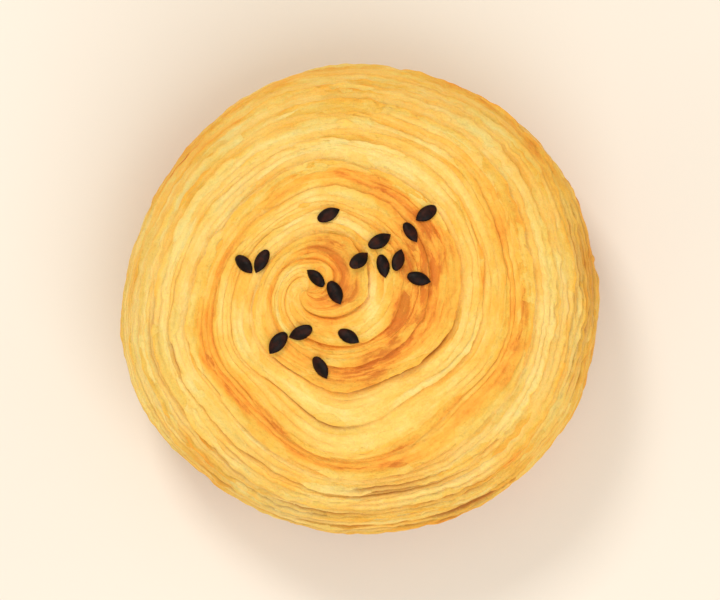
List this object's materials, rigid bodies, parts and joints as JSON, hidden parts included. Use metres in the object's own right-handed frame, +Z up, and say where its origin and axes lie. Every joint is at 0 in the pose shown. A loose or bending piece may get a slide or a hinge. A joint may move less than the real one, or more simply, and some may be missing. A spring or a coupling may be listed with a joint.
{
  "type": "taro pastry",
  "caption": "Round domed pastry of laminated dough, its layers winding out from the top over the side to a flat base, with black sesame seeds baked onto the crown.",
  "frame": {"origin": "on the table under the middle of the pastry, in the plane of its flat base", "axes": "+Z up through the crown, -Y towards the side nearest the camera in the picture, +X to the right"},
  "size_m": [0.062, 0.0608, 0.0356],
  "materials": {
    "baked_dough": "matte golden baked dough with browned layer edges",
    "black_sesame": "satin black-brown seed coat"
  },
  "bodies": {
    "root": {"taro_pastry": "baked_dough"}
  },
  "joints": []
}
